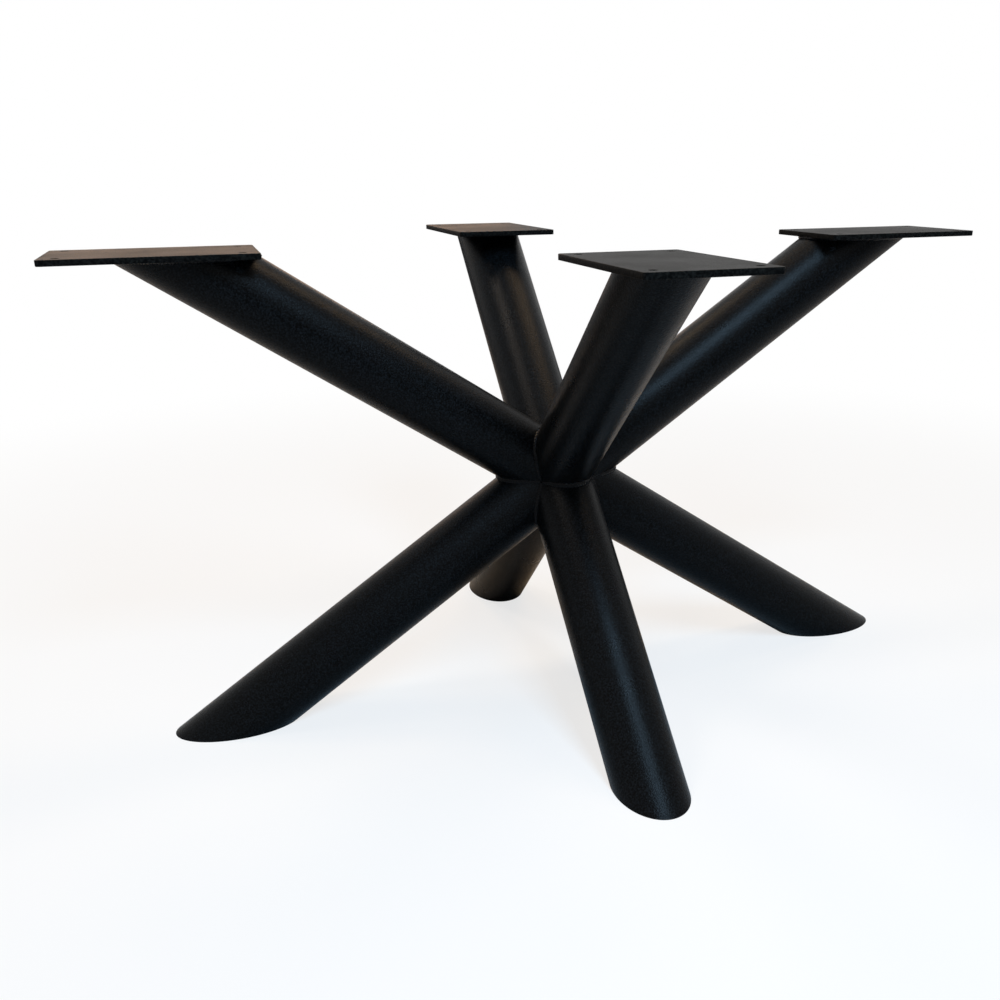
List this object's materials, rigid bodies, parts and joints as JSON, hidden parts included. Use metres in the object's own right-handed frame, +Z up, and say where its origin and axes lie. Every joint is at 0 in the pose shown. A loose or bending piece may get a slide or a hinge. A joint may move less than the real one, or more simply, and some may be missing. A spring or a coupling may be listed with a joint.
{
  "type": "table base",
  "caption": "Welded steel table base: round tubes cross at a central node, rise to flat screw plates for a table top and run down to feet cut level with the floor.",
  "frame": {"origin": "on the floor, under the node where the tubes meet", "axes": "+Z up, +X along the two longer legs, +Y along the two shorter legs, towards the rear one"},
  "size_m": [1.416, 1.0308, 0.73],
  "materials": {
    "tube_coat": "satin black powder coat, fine sandy texture",
    "plate_coat": "satin black powder coat, fine sandy texture",
    "foot_plate_coat": "satin black powder coat",
    "weld_coat": "satin black powder coat over weld beads"
  },
  "bodies": {
    "root": {"upper_tube_left": "tube_coat", "upper_tube_right": "tube_coat", "upper_tube_front": "tube_coat", "upper_tube_rear": "tube_coat", "lower_tube_left": "tube_coat", "lower_tube_right": "tube_coat", "lower_tube_front": "tube_coat", "lower_tube_rear": "tube_coat", "mounting_plate_left": "plate_coat", "mounting_plate_right": "plate_coat", "mounting_plate_front": "plate_coat", "mounting_plate_rear": "plate_coat", "foot_plate_left": "foot_plate_coat", "foot_plate_right": "foot_plate_coat", "foot_plate_front": "foot_plate_coat", "foot_plate_rear": "foot_plate_coat", "seam_weld_left": "weld_coat", "seam_weld_right": "weld_coat", "seam_weld_front": "weld_coat", "seam_weld_rear": "weld_coat", "upper_mitre_weld": "weld_coat", "lower_mitre_weld": "weld_coat", "plate_welds": "weld_coat"}
  },
  "joints": []
}
